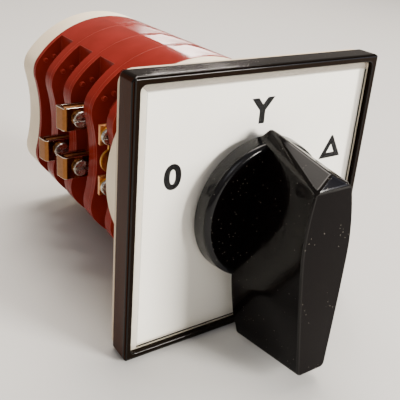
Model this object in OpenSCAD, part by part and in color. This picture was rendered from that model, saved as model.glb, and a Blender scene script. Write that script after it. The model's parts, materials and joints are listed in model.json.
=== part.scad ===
// Panel-mounted rotary cam switch with four contact decks.
// +Z is up, the front faces -Y, and the shaft runs along Y through the origin.
// The origin is on the shaft, in the plane where the front plate meets the panel.

/* [Front plate] */
// Side of the square front plate
plate_w = 64; // [62:1:72]
// Thickness of the black plate frame
bezel_t = 5.5; // [4.5:0.1:7]
// Corner radius of the plate frame
bezel_r = 1.3; // [0.5:0.1:2.5]
// Bevel round the front of the plate frame
bezel_bevel = 0.5; // [0.2:0.1:1]
// Width of the black rim round the cover
rim_w = 1.7; // [1.2:0.1:3]
// Thickness of the clear cover
cover_t = 1.5; // [1:0.1:2]
// Width of the bevel round the clear cover
cover_bevel = 1.2; // [0.6:0.1:2]
// Thickness of the printed label plate
label_t = 0.5; // [0.3:0.1:1]
// How far the label plate stays inside the cover's edge
label_edge = 0.3; // [0.1:0.1:1]
// Corner radius of the cover and the label plate
cover_r = 1.2; // [0.5:0.1:2]
// Thickness of the pale gasket behind the frame
gasket_t = 0.8; // [0.5:0.1:2]
// Corner radius of the gasket
gasket_r = 3; // [1:0.5:6]
// Spacing of the four panel screws
panel_pitch = 48; // [46:1:52]
// Diameter of the panel screw holes
panel_hole_d = 4.2; // [3.6:0.1:5]

/* [Handle] */
// Radius of the round base of the handle
disc_r = 16.6; // [14:0.2:20]
// Height of the round base
disc_t = 3.9; // [3:0.1:6]
// Rounding at the front edge of the base
disc_edge = 1.2; // [0.4:0.1:2]
// How far the blade stands out of the front plate
blade_h = 24.3; // [20:0.5:30]
// Reach of the pointed end above the shaft
tip_z = 18.9; // [17:0.5:22]
// Reach of the long end below the shaft
tail_z = 31; // [26:0.5:31]
// Largest half width of the blade, below the shaft
blade_hw = 7.7; // [7:0.1:9]
// Rounding of the blade's edges
blade_edge = 0.5; // [0.3:0.1:1]
// Radius of the handle's hub
hub_r = 7.6; // [7:0.1:8.4]
// Radius of the grub screw
grub_r = 1.5; // [1:0.1:2]

/* [Shaft] */
// Side of the square shaft
shaft_a = 8; // [7:0.5:9]
// Radius over the turned corners of the shaft
shaft_corner_r = 5.2; // [4.9:0.1:5.3]
// Radius of the journal in the rear plate
tail_journal_r = 3.9; // [3:0.1:4]
// Radius of the index wheel's journal
front_journal_r = 6.6; // [6.4:0.1:7]

/* [Body] */
// Width of a contact deck
body_w = 47.2; // [46:0.2:49]
// Height of a contact deck
body_h = 55.6; // [54:0.2:57]
// Radius of the rounded shoulders of the outline
lobe_r = 7; // [5:0.5:9]
// Radius of the hollow in each side
waist_r = 45; // [40:1:60]
// Distance from one deck to the next
deck_pitch = 12.9; // [12.6:0.1:15]
// Thickness of the rib at the front of a deck
rib_front = 3.2; // [3:0.1:3.6]
// Thickness of the rib at the back of a deck
rib_rear = 1.6; // [1.4:0.1:2]
// Depth of the wiring channel in each side
channel_d = 4.8; // [4.4:0.1:5]
// Sideways distance from the shaft to the ends of the wiring channel
channel_end = 15.4; // [14.6:0.1:16]
// Depth of the sloping flat on top of a deck, at its front
flat_d = 0.9; // [0.4:0.1:1.2]
// Width of the vent at the end of each wiring channel
vent_w = 2.8; // [1.5:0.1:3.4]
// Thickness of the rear plate
rear_t = 8; // [7:0.5:12]
// Length of the index housing
housing_l = 18.5; // [18:0.5:24]
// How much smaller the index housing's radius is than the decks'
housing_step = 0.1; // [0:0.05:0.5]
// Radius of the flatter sides of the index housing
housing_side_r = 31.4; // [30:0.2:36]
// Half width of the index housing
housing_hw = 25; // [24.6:0.1:26.5]
// Radius of the cavity in the index housing
cavity_r = 21; // [20:0.2:21.4]

/* [Index] */
// Radius over the crests of the index wheel
star_r = 12; // [11:0.1:12.4]
// Depth of the index notches
notch_d = 1.3; // [0.8:0.1:1.6]
// Thickness of the index leaf springs
leaf_t = 0.6; // [0.4:0.1:0.8]
// Turn of the handle to each side
turn = 60; // [50:1:60]

/* [Contacts] */
// Radius of a cam at rest under the plungers
cam_r = 9.5; // [9:0.1:9.8]
// Travel of a plunger to each side of rest
lift = 1; // [0.6:0.1:1.2]
// Thickness of a cam
cam_t = 5; // [4:0.1:5.4]
// Height of the upper terminal on the left
terminal_up = 9.2; // [8.6:0.1:9.4]
// Height of the lower terminal on the left, below the shaft
terminal_down = 3.9; // [3.7:0.1:4.6]
// Width of the contact strips
strip_w = 5; // [4:0.1:5.4]
// Thickness of the contact strips
strip_t = 1; // [0.8:0.1:1.2]
// Radius of the silver contact buttons
button_r = 1.5; // [1:0.1:2]
// Thickness of the silver contact buttons
button_t = 0.6; // [0.4:0.1:0.8]

/* [Terminals] */
// How far a clamp stands out of the deck's side
clamp_out = 4.3; // [4:0.1:7]
// Height of a clamp
clamp_h = 6; // [5:0.1:6.4]
// Depth of a clamp from front to back
clamp_d = 4.3; // [4.1:0.1:4.6]
// Thickness of the clamp's metal
clamp_t = 0.8; // [0.6:0.1:1]
// How much further the back of a clamp stands out than its front
clamp_lean = 0.7; // [0:0.1:1]
// Radius of a terminal screw's head
screw_head_r = 2.1; // [1.6:0.1:2.3]
// Radius of a terminal screw's shank
screw_r = 1.3; // [1:0.1:1.4]

/* [Fasteners] */
// Radius of the tie screws
tie_r = 1.6; // [1.4:0.1:1.8]
// Sideways distance of the tie screws from the shaft
tie_x = 11; // [10.4:0.2:12]
// Upward distance of the tie screws from the shaft
tie_z = 18.5; // [18.2:0.1:19]
// Radius of the plate screws
plate_screw_r = 1.5; // [1.2:0.1:1.8]

/* [Clearances] */
// Running clearance round a journal
run_gap = 0.05; // [0.02:0.01:0.08]
// Clearance of a sliding square fit
square_gap = 0.05; // [0.02:0.01:0.1]
// Gap between parts that move past each other
move_gap = 0.3; // [0.2:0.05:0.4]
// Gap round parts that are dropped in place
seat_gap = 0.1; // [0.05:0.01:0.2]

/* [Hidden] */
$fn = 64;

phenolic = "#8E2F22";
cream = "#D9C8B0";
black = "#151515";
nickel = "#B9B3A4";
brass = "#C08A3A";
copper = "#C58A5A";
steel = "#9A9A98";

eps = 0.01;
decks = 4;

// Places along the shaft, from front to back
front_y = -gasket_t - bezel_t;
cover_drop = 0.2;
recess_d = cover_t + label_t + cover_drop;
floor_y = front_y + recess_d;
disc_y = front_y - move_gap;
blade_y = front_y - blade_h;
decks_y = housing_l;
rear_y = decks_y + decks * deck_pitch;
back_y = rear_y + rear_t;
function deck_y(i) = decks_y + (i - 1) * deck_pitch;

// Radius of the index housing
housing_r = body_h / 2 - housing_step;

// Sizes inside the front plate
recess_w = plate_w - 2 * rim_w;
cover_w = recess_w - 2 * seat_gap;
label_w = cover_w - 2 * label_edge;
plate_hole_r = hub_r + move_gap + seat_gap;
plate_screw_z = (cavity_r + housing_r) / 2;
plate_screw_l = 11;
screw_head_t = 1.1;

// Sizes of the index mechanism
housing_front = 3;
stop_t = 3;
star_t = 5.4;
star_y = housing_front + 1.2;
leaf_y = star_y + (star_t - leaf_w()) / 2;
stop_y = star_y + star_t + 1.2;
stop_hub_r = 9;
stop_lug_r = star_r + 5.2;
stop_lug_half = 12;
stop_cut = 2 * stop_lug_r;
stop_post_r = 2;
stop_post_at = star_r + 3.2;
stop_slack = 1;
stop_post_turn = turn + stop_lug_half + asin(stop_post_r / stop_post_at) + stop_slack;
leaf_z = star_r + 1.5;
leaf_hw = sqrt(pow(cavity_r, 2) - pow(leaf_z + leaf_t, 2)) - move_gap;
seat_w = 3;
function leaf_w() = 4.4;

// Centres of the rounded shoulders and of the hollows in the sides
lobe_x = body_w / 2 - lobe_r;
lobe_z = sqrt(pow(body_h / 2 - lobe_r, 2) - pow(lobe_x, 2));
waist_x = lobe_x + sqrt(pow(waist_r + lobe_r, 2) - pow(lobe_z, 2));
lobe_foot = lobe_r / (waist_r + lobe_r);

// Sizes inside a deck, measured from the deck's own front face
cell_y = rib_front + 0.7;
mid_y = rib_front + (deck_pitch - rib_front - rib_rear) / 2;
cam_y = mid_y - cam_t / 2;
cam_span = 75;
cam_swing = lift / turn;
flat_rise = 0.1;
flat_left = 2.6;
vent_wall = 0.6;
nubs = [[44, 3.1], [38.5, 1.8], [-44, 3.1]];
nub_r = 0.6;
nub_h = vent_wall;
cam_top_r = cam_r + cam_swing * cam_span;
cam_bore_r = cam_top_r + 0.8;
cam_hub_r = 6.4;
cam_hub_bore_r = cam_hub_r + 0.6;
bridge_z = (terminal_up - terminal_down) / 2;
bridge_arm = (terminal_up + terminal_down) / 2;
nose_x = cam_r + move_gap - 0.1;
nose_r = 1.4;
plunger_w = 5;
plunger_low = 3;
plunger_high = bridge_z + 2.4;
bridge_x = nose_x + 3.3;
bridge_t = 1.2;
bridge_hl = bridge_arm + strip_w / 2;
touch_gap = 0.1;
fixed_x = bridge_x + bridge_t + button_t + lift + touch_gap;
tab_x = fixed_x + button_t;
wall_x = body_w / 2 - channel_d;
cell_in = bridge_x - lift - move_gap;
cell_out = tab_x + strip_t + seat_gap;
cell_hh = bridge_arm + strip_w / 2 + 0.6;
clamp_x = body_w / 2 + clamp_out;
clamp_in = wall_x + 1.6;
clamp_y = mid_y - clamp_d / 2;
clamp_screw_x = clamp_x - clamp_t - screw_head_r - 1.4;
strip_y = clamp_y + clamp_d - clamp_t - strip_t;
strip_end = clamp_x - clamp_t - 0.4;
strip_short = wall_x + 0.8;
tab_w = 5;
link_y = rib_front + 0.2 + screw_head_t;
link_r = 3.2;
link_x = body_w / 2 - 1.4;
link_strip_y = link_y + clamp_t;
link_end = link_x + screw_head_r - 0.2;

// Wound springs
spring_wire = 0.35;
spring_r = 1.4;
spring_turns = 3;
spring_from = bridge_x + bridge_t + seat_gap;
spring_to = cell_out - seat_gap;

// An outline in X and Z, made solid from y0 over the length l
module along_y(y0, l) {
    translate([0, y0 + l, 0])
        rotate([90, 0, 0])
            linear_extrude(l) children();
}

// A round bar or bore along Y from y0 to y1
module rod_y(r, y0, y1, x = 0, z = 0) {
    translate([x, y1, z])
        rotate([90, 0, 0])
            cylinder(r = r, h = y1 - y0);
}

// A round bar along X from x0 to x1
module rod_x(r, x0, x1, y = 0, z = 0) {
    translate([x0, y, z])
        rotate([0, 90, 0])
            cylinder(r = r, h = x1 - x0);
}

// A block between two corners
module block(a, b) {
    translate(a)
        cube(b - a);
}

module rounded_square(w, r) {
    square([w - 2 * r, w], center = true);
    square([w, w - 2 * r], center = true);
    for (x = [-1, 1])
        for (z = [-1, 1])
            translate([x * (w / 2 - r), z * (w / 2 - r)])
                circle(r);
}

module square_bore(y0, y1) {
    side = shaft_a + 2 * square_gap;
    along_y(y0, y1 - y0)
        square(side, center = true);
}

module panel_holes(y0, y1) {
    for (x = [-1, 1])
        for (z = [-1, 1])
            rod_y(panel_hole_d / 2, y0, y1, x * panel_pitch / 2, z * panel_pitch / 2);
}

// Bevel cutters along the four front edges of the plate frame
module front_bevels() {
    reach = bezel_bevel * sqrt(2);
    for (a = [0, 90, 180, 270])
        rotate([0, a, 0])
            translate([plate_w / 2, front_y, 0])
                rotate([0, 0, 45])
                    cube([reach, reach, 2 * plate_w], center = true);
}

module bezel_frame() {
    color(black)
        difference() {
            along_y(front_y, bezel_t)
                rounded_square(plate_w, bezel_r);
            front_bevels();
            along_y(front_y - eps, recess_d + eps)
                rounded_square(recess_w, bezel_r);
            rod_y(plate_hole_r, floor_y - eps, 0);
            panel_holes(floor_y - eps, 0);
            for (z = [-1, 1])
                plate_screw_hole(z);
        }
}

// Hole and head recess of one plate screw
module plate_screw_hole(side) {
    rod_y(plate_screw_r + seat_gap, floor_y - eps, 0, 0, side * plate_screw_z);
    rod_y(2 * plate_screw_r + seat_gap, floor_y - eps, floor_y + screw_head_t + seat_gap,
        0, side * plate_screw_z);
}

module gasket() {
    color("#CDBBA2")
        difference() {
            along_y(-gasket_t, gasket_t)
                rounded_square(plate_w, gasket_r);
            rod_y(plate_hole_r, -gasket_t - eps, eps);
            panel_holes(-gasket_t - eps, eps);
            for (z = [-1, 1])
                rod_y(plate_screw_r + seat_gap, -gasket_t - eps, eps, 0, z * plate_screw_z);
        }
}

module label_plate() {
    color("#E6E3DA")
        difference() {
            along_y(floor_y - label_t, label_t)
                rounded_square(label_w, cover_r);
            rod_y(plate_hole_r, floor_y - label_t - eps, floor_y + eps);
        }
}

// Section of the bevelled cover, across one pair of sides
module cover_section() {
    half = cover_w / 2;
    top = half - cover_bevel;
    polygon([[-half, 0], [half, 0], [half, -cover_t / 3], [top, -cover_t],
        [-top, -cover_t], [-half, -cover_t / 3]]);
}

module clear_cover() {
    color("#DDE6E8", 0.3)
        difference() {
            translate([0, floor_y - label_t, 0])
                intersection() {
                    translate([0, 0, -plate_w / 2])
                        linear_extrude(plate_w) cover_section();
                    rotate([0, 90, 0])
                        translate([0, 0, -plate_w / 2])
                            linear_extrude(plate_w) cover_section();
                    along_y(-cover_t - 1, cover_t + 2)
                        rounded_square(cover_w, cover_r);
                }
            rod_y(plate_hole_r, front_y - 1, floor_y + 1);
        }
}

module plate_screws() {
    color(steel)
        for (z = [-1, 1]) {
            rod_y(2 * plate_screw_r, floor_y + seat_gap, floor_y + screw_head_t,
                0, z * plate_screw_z);
            rod_y(plate_screw_r, floor_y + screw_head_t - eps,
                floor_y + plate_screw_l, 0, z * plate_screw_z);
        }
}

// Half section of the handle's round base, from the shaft outwards
module disc_section() {
    steps = 6;
    draft = 0.5;
    top_r = disc_r - draft;
    arc = [for (k = [0:steps]) let (a = 90 * k / steps)
        [top_r - disc_edge + disc_edge * cos(a), disc_t - disc_edge + disc_edge * sin(a)]];
    polygon(concat([[0, 0], [disc_r, 0]], arc, [[0, disc_t]]));
}

// Half width of the blade where it leaves the round base, at the height z
function back_half(z) = let (wide = -tail_z * 0.45)
    z > wide ? blade_hw * pow((tip_z - z) / (tip_z - wide), 0.55) :
    blade_hw * (1 - 0.38 * pow((wide - z) / (wide + tail_z), 1.3));

// Half width of the blade's front face at the height z
function front_half(z) = let (most = blade_hw * 0.83)
    z > 0 ? most * (1 - 0.25 * pow(z / (tip_z - 5.7), 2)) :
    most * (1 - 0.41 * pow(-z / (tail_z - 2.2), 1.2));

// Corner points of the right half of the blade, inside the rounding of its edges
function blade_points() = let (e = blade_edge, front = blade_y + e, back = disc_y - 2.9 - e,
        back_z = [tip_z - 2.5, tip_z * 0.6, tip_z * 0.25, -2, -tail_z * 0.27, -tail_z * 0.45,
            -tail_z * 0.62, -tail_z * 0.8, -tail_z + e + 0.4],
        front_z = [tip_z - 6.1, tip_z * 0.2, -4, -tail_z * 0.45, -tail_z + 2.2 + e])
    concat([[0, disc_y - 1.7 - e, tip_z - e], [1.2, disc_y - 0.4 - e, tip_z - 2.1],
            [0, front + 3.6, tip_z - 3.4], [back_half(-tail_z) - 1, back - 1, -tail_z + e]],
        [for (z = back_z) [back_half(z) - e, back, z]],
        [for (z = front_z) [front_half(z) - e, front + (z + tail_z) * 0.05, z]]);

module blade() {
    hull()
        for (side = [-1, 1])
            for (p = blade_points())
                translate([side * p[0], p[1], p[2]])
                    sphere(blade_edge, $fn = 16);
}

module handle() {
    color(black)
        difference() {
            union() {
                translate([0, disc_y, 0])
                    rotate([90, 0, 0])
                        rotate_extrude() disc_section();
                blade();
                rod_y(hub_r, disc_y - eps, -move_gap);
            }
            square_bore(disc_y - disc_t - 4, 1);
            rod_x(grub_r, shaft_a / 2, disc_r + 1, disc_y - disc_t / 2 + 0.2, 0);
        }
}

module grub_screw() {
    from = shaft_a / 2 + square_gap;
    color(steel)
        difference() {
            rod_x(grub_r - 0.05, from, disc_r - 2.5, disc_y - disc_t / 2 + 0.2);
            translate([disc_r - 4, disc_y - disc_t / 2 + 0.2, 0])
                rotate([0, 90, 0])
                    cylinder(r = grub_r / 2, h = 2, $fn = 6);
        }
}

module shaft() {
    color(steel) {
        intersection() {
            along_y(disc_y - disc_t - 3.5, rear_y - disc_y + disc_t + 3.5)
                square(shaft_a, center = true);
            rod_y(shaft_corner_r, disc_y - disc_t - 4, rear_y + 1);
        }
        rod_y(tail_journal_r, rear_y - eps, rear_y + rear_t * 0.7);
    }
}

// Outline of the index housing, flatter at the sides
module housing_outline() {
    offset_x = housing_side_r - housing_hw;
    intersection() {
        circle(housing_r, $fn = 96);
        translate([offset_x, 0])
            circle(housing_side_r, $fn = 96);
        translate([-offset_x, 0])
            circle(housing_side_r, $fn = 96);
    }
}

module index_housing() {
    color(cream)
        difference() {
            union() {
                difference() {
                    along_y(0, housing_l)
                        housing_outline();
                    rod_y(cavity_r, housing_front, housing_l + eps);
                }
                stop_posts();
                leaf_seats();
                tie_bosses();
            }
            rod_y(front_journal_r + run_gap, -eps, housing_front + eps);
            for (z = [-1, 1])
                rod_y(plate_screw_r + seat_gap, -eps,
                    floor_y + plate_screw_l + 1, 0, z * plate_screw_z);
            tie_holes(housing_l - 9, housing_l + eps);
        }
}

// Posts that the lug of the stop disc comes to rest against
module stop_posts() {
    for (side = [-1, 1])
        rod_y(stop_post_r, housing_front - eps, stop_y + stop_t,
            stop_post_at * sin(180 + side * stop_post_turn),
            stop_post_at * cos(180 + side * stop_post_turn));
}

// Ledges that carry the ends of the leaf springs
module leaf_seats() {
    low = leaf_z - seat_w;
    for (x = [-1, 1])
        for (z = [-1, 1])
            intersection() {
                block([min(x * (leaf_hw - seat_w), x * housing_hw), housing_front - eps,
                        min(z * low, z * (leaf_z - seat_gap))],
                    [max(x * (leaf_hw - seat_w), x * housing_hw), leaf_y + leaf_w(),
                        max(z * low, z * (leaf_z - seat_gap))]);
                rod_y(cavity_r + 1, 0, housing_l);
            }
}

// Bosses in the cavity that take the tie screws
module tie_bosses() {
    intersection() {
        for (x = [-1, 1])
            for (z = [-1, 1])
                rod_y(tie_r + 1.9, housing_l - 9.5, housing_l, x * tie_x, z * tie_z);
        rod_y(cavity_r + 1, 0, housing_l);
    }
}

module tie_holes(y0, y1, r = tie_r + seat_gap) {
    for (x = [-1, 1])
        for (z = [-1, 1])
            rod_y(r, y0, y1, x * tie_x, z * tie_z);
}

module index_wheel() {
    color("#C9C4B8")
        difference() {
            union() {
                rod_y(front_journal_r, move_gap, star_y + eps);
                along_y(star_y, star_t)
                    star_outline();
                rod_y(front_journal_r, star_y + star_t - eps, stop_y - seat_gap);
            }
            square_bore(-1, stop_y + 1);
        }
}

// Six notches, one for every step of the handle and its opposite
module star_outline() {
    difference() {
        circle(star_r);
        for (k = [0:5])
            rotate(60 * k)
                translate([0, star_r - notch_d])
                    rotate(45)
                        square(4);
    }
}

module stop_disc() {
    color("#C9C4B8")
        difference() {
            union() {
                along_y(stop_y, stop_t)
                    union() {
                        circle(stop_hub_r);
                        intersection() {
                            circle(stop_lug_r);
                            polygon([[0, 0], [-stop_cut * tan(stop_lug_half), -stop_cut],
                                [stop_cut * tan(stop_lug_half), -stop_cut]]);
                        }
                    }
                rod_y(cam_hub_r, stop_y + stop_t - eps, housing_l - seat_gap);
            }
            square_bore(stop_y - 1, housing_l + 1);
        }
}

// Leaf with a pointed crest that drops into a notch
module leaf_outline() {
    crest = star_r - notch_d + 0.25;
    foot = leaf_z - crest;
    polygon([[-leaf_hw, leaf_z], [-foot, leaf_z], [0, crest], [foot, leaf_z],
        [leaf_hw, leaf_z], [leaf_hw, leaf_z + leaf_t], [foot + leaf_t / 3, leaf_z + leaf_t],
        [0, crest + leaf_t * 1.4], [-foot - leaf_t / 3, leaf_z + leaf_t],
        [-leaf_hw, leaf_z + leaf_t]]);
}

module index_springs() {
    color(steel)
        for (a = [0, 180])
            rotate([0, a, 0])
                along_y(leaf_y, leaf_w())
                    leaf_outline();
}

// Outline shared by the decks and the rear plate: round above and below, with
// rounded shoulders that run into a shallow hollow in each side
module deck_outline() {
    difference() {
        circle(body_h / 2, $fn = 120);
        for (side = [-1, 1])
            translate([side * waist_x, 0])
                circle(waist_r, $fn = 180);
        for (side = [-1, 1])
            for (end = [-1, 1])
                difference() {
                    polygon([[side * lobe_x, end * lobe_z],
                        [side * lobe_x * 1.8, end * lobe_z * 1.8],
                        [side * waist_x, 0],
                        [side * (lobe_x + (waist_x - lobe_x) * lobe_foot),
                            end * lobe_z * (1 - lobe_foot)]]);
                    translate([side * lobe_x, end * lobe_z])
                        circle(lobe_r, $fn = 64);
                }
    }
}

// Outline of the floor of the wiring channels
module channel_floor() {
    intersection() {
        circle(body_h / 2 - channel_d);
        square([2 * wall_x, body_h], center = true);
    }
}

// Wiring channel of the left side, with small moulded nubs on its rear wall
module channel(y) {
    rear = y + deck_pitch - rib_rear;
    difference() {
        along_y(y + rib_front, deck_pitch - rib_front - rib_rear)
            difference() {
                translate([-body_w, -body_h])
                    square([body_w - channel_end, 2 * body_h]);
                channel_floor();
            }
        for (n = nubs)
            rod_y(nub_r, rear - nub_h, rear + eps,
                -(body_h / 2 - n[1]) * cos(n[0]), (body_h / 2 - n[1]) * sin(n[0]));
    }
}

// Room for one plunger, its bridge and its two fixed contacts, on the left.
// The slots for the strips lie at slot_y from the deck's front face.
module contact_cell(y, slot_y) {
    open_y = y + deck_pitch + eps;
    block([-cell_out, y + cell_y, bridge_z - cell_hh],
        [-cell_in, open_y, bridge_z + cell_hh]);
    block([-cell_in - eps, y + cell_y, -plunger_low - move_gap],
        [-cam_bore_r / 2, open_y, plunger_high + move_gap]);
    for (side = [-1, 1])
        block([-wall_x - 1, y + slot_y - seat_gap,
                bridge_z + side * bridge_arm - strip_w / 2 - seat_gap],
            [-cell_out + eps, y + slot_y + strip_t + seat_gap,
                bridge_z + side * bridge_arm + strip_w / 2 + seat_gap]);
}

// Sloping flat on top of a deck, deepest at its front
module top_flat(y) {
    top = body_h / 2;
    translate([-flat_left, 0, 0])
        rotate([90, 0, 90])
            linear_extrude(body_w / 2)
                polygon([[y + 1, top - flat_d], [y + deck_pitch - 1, top - flat_rise],
                    [y + deck_pitch - 1, top + 1], [y + 1, top + 1]]);
}

// Vent from the upper end of the left wiring channel into the contact cell
module vent(y) {
    block([-channel_end - vent_w, y + rib_front + vent_wall, bridge_z + cell_hh - eps],
        [-channel_end, y + deck_pitch - rib_rear - vent_wall, body_h / 2]);
}

module deck(i) {
    y = deck_y(i);
    color(phenolic)
        difference() {
            along_y(y, deck_pitch)
                deck_outline();
            rod_y(cam_hub_bore_r, y - eps, y + rib_front + eps);
            rod_y(cam_bore_r, y + rib_front, y + deck_pitch + eps);
            for (a = [0, 180])
                rotate([0, a, 0]) {
                    channel(y);
                    vent(y);
                    contact_cell(y, i == 1 && a == 0 ? link_strip_y : strip_y);
                }
            tie_holes(y - eps, y + deck_pitch + eps);
            top_flat(y);
        }
}

// Radius of a cam in the direction a, measured from the upper end towards the right.
// Each half falls evenly over the span that meets a plunger, then climbs back.
function cam_radius(a) = let (s = (a + 360) % 180 - 90)
    abs(s) <= cam_span ? cam_r - cam_swing * s :
    cam_r + cam_swing * cam_span * (90 - abs(s)) / (90 - cam_span) * (s > 0 ? -1 : 1);

module cam(i) {
    y = deck_y(i);
    step = 5;
    color("#D8D2C4")
        difference() {
            union() {
                along_y(y + cam_y, cam_t)
                    polygon([for (k = [0:71]) let (a = k * step)
                        [cam_radius(a) * sin(a), cam_radius(a) * cos(a)]]);
                rod_y(cam_hub_r, y + seat_gap, y + deck_pitch - seat_gap);
            }
            square_bore(y - 1, y + deck_pitch + 1);
        }
}

// Plunger of the left side, pushed outwards by the cam
module plunger(i) {
    y0 = deck_y(i) + mid_y - plunger_w / 2;
    color("#E4DFD2") {
        block([-bridge_x, y0, -plunger_low], [-nose_x - nose_r, y0 + plunger_w, plunger_high]);
        block([-nose_x - nose_r - eps, y0, -nose_r], [-nose_x - nose_r + eps, y0 + plunger_w, nose_r]);
        rod_y(nose_r, y0, y0 + plunger_w, -nose_x - nose_r, 0);
        rod_x(0.9, -bridge_x - bridge_t - 0.3, -bridge_x + eps, y0 + plunger_w / 2, bridge_z);
    }
}

module bridge(i) {
    y0 = deck_y(i) + mid_y - plunger_w / 2;
    mid = y0 + plunger_w / 2;
    color(copper) {
        difference() {
            block([-bridge_x - bridge_t, y0, bridge_z - bridge_hl],
                [-bridge_x, y0 + plunger_w, bridge_z + bridge_hl]);
            rod_x(0.9 + seat_gap, -bridge_x - bridge_t - 1, -bridge_x + 1, mid, bridge_z);
        }
        for (side = [-1, 1])
            rod_x(button_r, -bridge_x - bridge_t - button_t, -bridge_x - bridge_t + eps,
                mid, bridge_z + side * bridge_arm);
    }
}

// One folded contact strip of the left side, with its silver button
module fixed_contact(i, z, end, at = strip_y) {
    y = deck_y(i);
    z0 = z - strip_w / 2;
    mid = y + mid_y;
    color(copper) {
        block([-tab_x - strip_t, mid - tab_w / 2, z0], [-tab_x, y + strip_y + strip_t, z0 + strip_w]);
        block([-end, y + at, z0],
            [-tab_x - strip_t + eps, y + at + strip_t, z0 + strip_w]);
        rod_x(button_r, -tab_x - eps, -fixed_x, mid, z);
    }
}

// Strips that no wire is led to end just outside the wall
module fixed_contacts(i) {
    for (side = [-1, 1]) {
        z = bridge_z + side * bridge_arm;
        used = len([for (c = left_clamps) if (c == [i, side]) c]) > 0;
        if (i == 1)
            fixed_contact(i, z, link_end, link_strip_y);
        else
            fixed_contact(i, z, used ? strip_end : strip_short);
        rotate([0, 180, 0])
            fixed_contact(i, z, strip_end);
    }
}

// U-shaped clamp round the end of a contact strip of the left side
module clamp(i, z) {
    y = deck_y(i) + clamp_y;
    t = clamp_t;
    color(nickel)
        difference() {
            translate([0, 0, z - clamp_h / 2])
                linear_extrude(clamp_h)
                    polygon([[-clamp_in, y], [-clamp_x, y], [-clamp_x - clamp_lean, y + clamp_d],
                        [-clamp_in, y + clamp_d], [-clamp_in, y + clamp_d - t],
                        [-clamp_x - clamp_lean + t, y + clamp_d - t],
                        [-clamp_x + t, y + t], [-clamp_in, y + t]]);
            rod_y(screw_r + seat_gap, y - 1, y + t + eps, -clamp_screw_x, z);
        }
}

// Outline of the flat link: an eye at each terminal and a rounded middle
module link_outline() {
    intersection() {
        union() {
            translate([-link_x, bridge_z - bridge_arm])
                square([2, 2 * bridge_arm]);
            translate([-link_x + 1.2, bridge_z])
                circle(link_r);
            for (side = [-1, 1])
                translate([-link_x, bridge_z + side * bridge_arm])
                    circle(screw_head_r);
        }
        translate([-body_w, -body_h / 2])
            square([body_w - wall_x - 0.4, body_h]);
    }
}

// Link that joins the two left terminals of the front deck
module link_strap() {
    y = deck_y(1) + link_y;
    color(brass)
        difference() {
            along_y(y, clamp_t)
                link_outline();
            for (side = [-1, 1])
                rod_y(screw_r + seat_gap, y - 1, y + clamp_t + 1,
                    -link_x, bridge_z + side * bridge_arm);
        }
}

// Cheese-head screw that closes a clamp of the left side, or holds the link.
// The underside of its head lies at y0, and its end meets the strip at y1.
module terminal_screw(x, z, y0, y1) {
    color("#C2C0B6")
        difference() {
            union() {
                rod_y(screw_head_r, y0 - screw_head_t, y0, -x, z);
                rod_y(screw_r, y0 - eps, y1, -x, z);
            }
            translate([-x, y0 - screw_head_t, z])
                cube([2 * screw_head_r + 1, 0.9, 0.6], center = true);
        }
}

// The left side carries three clamps and the link, the right side is fully fitted
left_clamps = [[2, 1], [2, -1], [3, -1]];
right_clamps = [for (i = [1:decks]) for (side = [-1, 1]) [i, side]];

module clamps_left() {
    for (c = left_clamps)
        clamp(c[0], bridge_z + c[1] * bridge_arm);
}

module clamps_right() {
    rotate([0, 180, 0])
        for (c = right_clamps)
            clamp(c[0], bridge_z + c[1] * bridge_arm);
}

module terminal_screws_left() {
    for (c = left_clamps)
        terminal_screw(clamp_screw_x, bridge_z + c[1] * bridge_arm,
            deck_y(c[0]) + clamp_y, deck_y(c[0]) + strip_y);
    for (side = [-1, 1])
        terminal_screw(link_x, bridge_z + side * bridge_arm,
            deck_y(1) + link_y, deck_y(1) + link_strip_y);
}

module terminal_screws_right() {
    rotate([0, 180, 0])
        for (c = right_clamps)
            terminal_screw(clamp_screw_x, bridge_z + c[1] * bridge_arm,
                deck_y(c[0]) + clamp_y, deck_y(c[0]) + strip_y);
}

// Helix along X as rings of a few sides each
function spring_ring(k, n, sides) = let (t = k / n, a = 360 * spring_turns * t,
        r0 = spring_wire / 2, span = spring_to - spring_from - spring_wire)
    [for (s = [0:sides - 1]) let (b = 360 * s / sides, r = spring_r + r0 * cos(b))
        [-(spring_from + r0 + span * t + r0 * sin(b)), r * cos(a), r * sin(a)]];

module coil() {
    sides = 5;
    n = spring_turns * 10;
    points = [for (k = [0:n]) each spring_ring(k, n, sides)];
    skin = [for (k = [0:n - 1]) for (s = [0:sides - 1]) let (t = (s + 1) % sides)
        [k * sides + s, k * sides + t, (k + 1) * sides + t, (k + 1) * sides + s]];
    first = [for (s = [0:sides - 1]) sides - 1 - s];
    last = [for (s = [0:sides - 1]) n * sides + s];
    polyhedron(points, concat(skin, [first, last]));
}

module contact_springs() {
    color(steel)
        for (i = [1:decks])
            for (a = [0, 180])
                rotate([0, a, 0])
                    translate([0, deck_y(i) + mid_y, bridge_z])
                        coil();
}

module rear_plate() {
    color(cream)
        difference() {
            along_y(rear_y, rear_t)
                deck_outline();
            rod_y(tail_journal_r + run_gap, rear_y - eps, rear_y + rear_t * 0.75);
            tie_holes(rear_y - eps, back_y + eps);
            tie_holes(back_y - 3, back_y + eps, 2 * tie_r);
        }
}

module tie_screws() {
    color(steel)
        for (x = [-1, 1])
            for (z = [-1, 1])
                difference() {
                    union() {
                        rod_y(tie_r, housing_l - 8.5, back_y - 3 + eps, x * tie_x, z * tie_z);
                        rod_y(2 * tie_r - seat_gap, back_y - 3, back_y - 0.6, x * tie_x, z * tie_z);
                    }
                    translate([x * tie_x, back_y - 0.6, z * tie_z])
                        cube([4 * tie_r, 2, 0.8], center = true);
                }
}

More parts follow.
